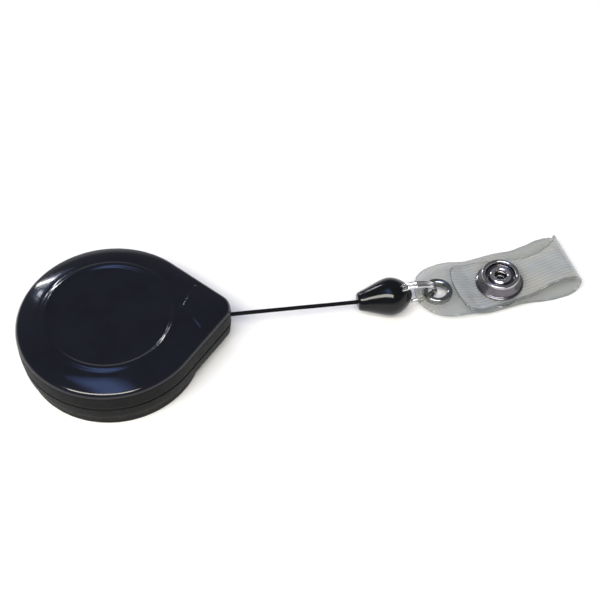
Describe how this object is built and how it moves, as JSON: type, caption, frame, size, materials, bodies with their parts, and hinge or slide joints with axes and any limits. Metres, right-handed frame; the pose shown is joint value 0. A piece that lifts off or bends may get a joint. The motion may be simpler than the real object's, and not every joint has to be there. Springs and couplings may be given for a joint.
{
  "type": "retractable badge reel",
  "caption": "Teardrop badge reel: sprung spool in a two-shell case, belt clip, cord with end bead, split ring and folded clear strap with a snap.",
  "frame": {"origin": "on the spool's axis, in the plane of the belt clip leaf's flat underside, which is also the plane of the foot ring under the case", "axes": "+Z out of the case's front face; +X from the spool's axis towards the nose where the cord comes out, and along the laid-out cord and strap"},
  "size_m": [0.099, 0.0318, 0.0104],
  "materials": {
    "black_plastic": "moulded, polished, blue-black",
    "spool_plastic": "natural moulded acetal",
    "black_cord": "braided nylon, 0.7 mm",
    "spring_steel": "bright spring steel",
    "chrome": "nickel-plated brass and steel",
    "clear_vinyl": "clear flexible vinyl with fine embossed ribs"
  },
  "bodies": {
    "housing": {"front_cover": "black_plastic", "rear_cover": "black_plastic", "axle_rivet": "spring_steel", "retaining_washer": "spring_steel", "power_spring": "spring_steel", "belt_clip_base": "spring_steel", "cord_lead": "black_cord"},
    "clip_leaf": {"belt_clip_leaf": "spring_steel"},
    "spool": {"spool": "spool_plastic", "cord_winding": "black_cord"},
    "cord_line": {"cord_run": "black_cord"},
    "puller": {"cord_end_bead": "black_plastic", "cord_knot": "black_cord"},
    "ring": {"split_ring": "chrome"},
    "strap": {"strap_lower": "clear_vinyl", "strap_eyelet": "chrome", "eyelet_washer": "chrome", "snap_post": "chrome", "snap_stud": "chrome"},
    "flap": {"strap_flap": "clear_vinyl", "snap_socket": "chrome", "snap_socket_ring": "chrome", "snap_spring": "spring_steel"}
  },
  "joints": [
    {"name": "clip_flex", "type": "hinge", "parent": "housing", "child": "clip_leaf", "pos_m": [-0.0118, 0, 0.00022], "axis": [0, 1, 0], "range_deg": [0, 8], "stiffness_Nm_per_rad": 1},
    {"name": "spool_spin", "type": "hinge", "parent": "housing", "child": "spool", "pos_m": [0, 0, 0.0062], "axis": [0, 0, 1], "range_deg": [-2910, 115]},
    {"name": "cord_swing", "type": "hinge", "parent": "housing", "child": "cord_line", "pos_m": [0.0205, 0, 0.0062], "axis": [0, 0, 1], "range_deg": [-30, 30]},
    {"name": "cord_pull", "type": "slide", "parent": "cord_line", "child": "puller", "axis": [0.999, 0.0454, 0], "range_m": [-0.0217, 0.585], "stiffness_N_per_m": 0.8, "springref_m": -0.6, "deforming": ["cord_run"]},
    {"name": "ring_turn", "type": "hinge", "parent": "puller", "child": "ring", "pos_m": [0.05284, 0.00149, 0.00395], "axis": [0.0436, -0.9603, -0.2756], "range_deg": [0, 110]},
    {"name": "strap_swing", "type": "hinge", "parent": "ring", "child": "strap", "pos_m": [0.0571, 0.002, 0.0026], "axis": [0, 0, 1], "range_deg": [-40, 40]},
    {"name": "flap_open", "type": "hinge", "parent": "strap", "child": "flap", "pos_m": [0.08207, 0.00637, 0.002], "axis": [-0.1822, 0.9833, 0], "range_deg": [0, 150]}
  ],
  "couplings": [
    {"joint": "spool_spin", "follows": "cord_pull", "rad_per_m": -86.58}
  ]
}
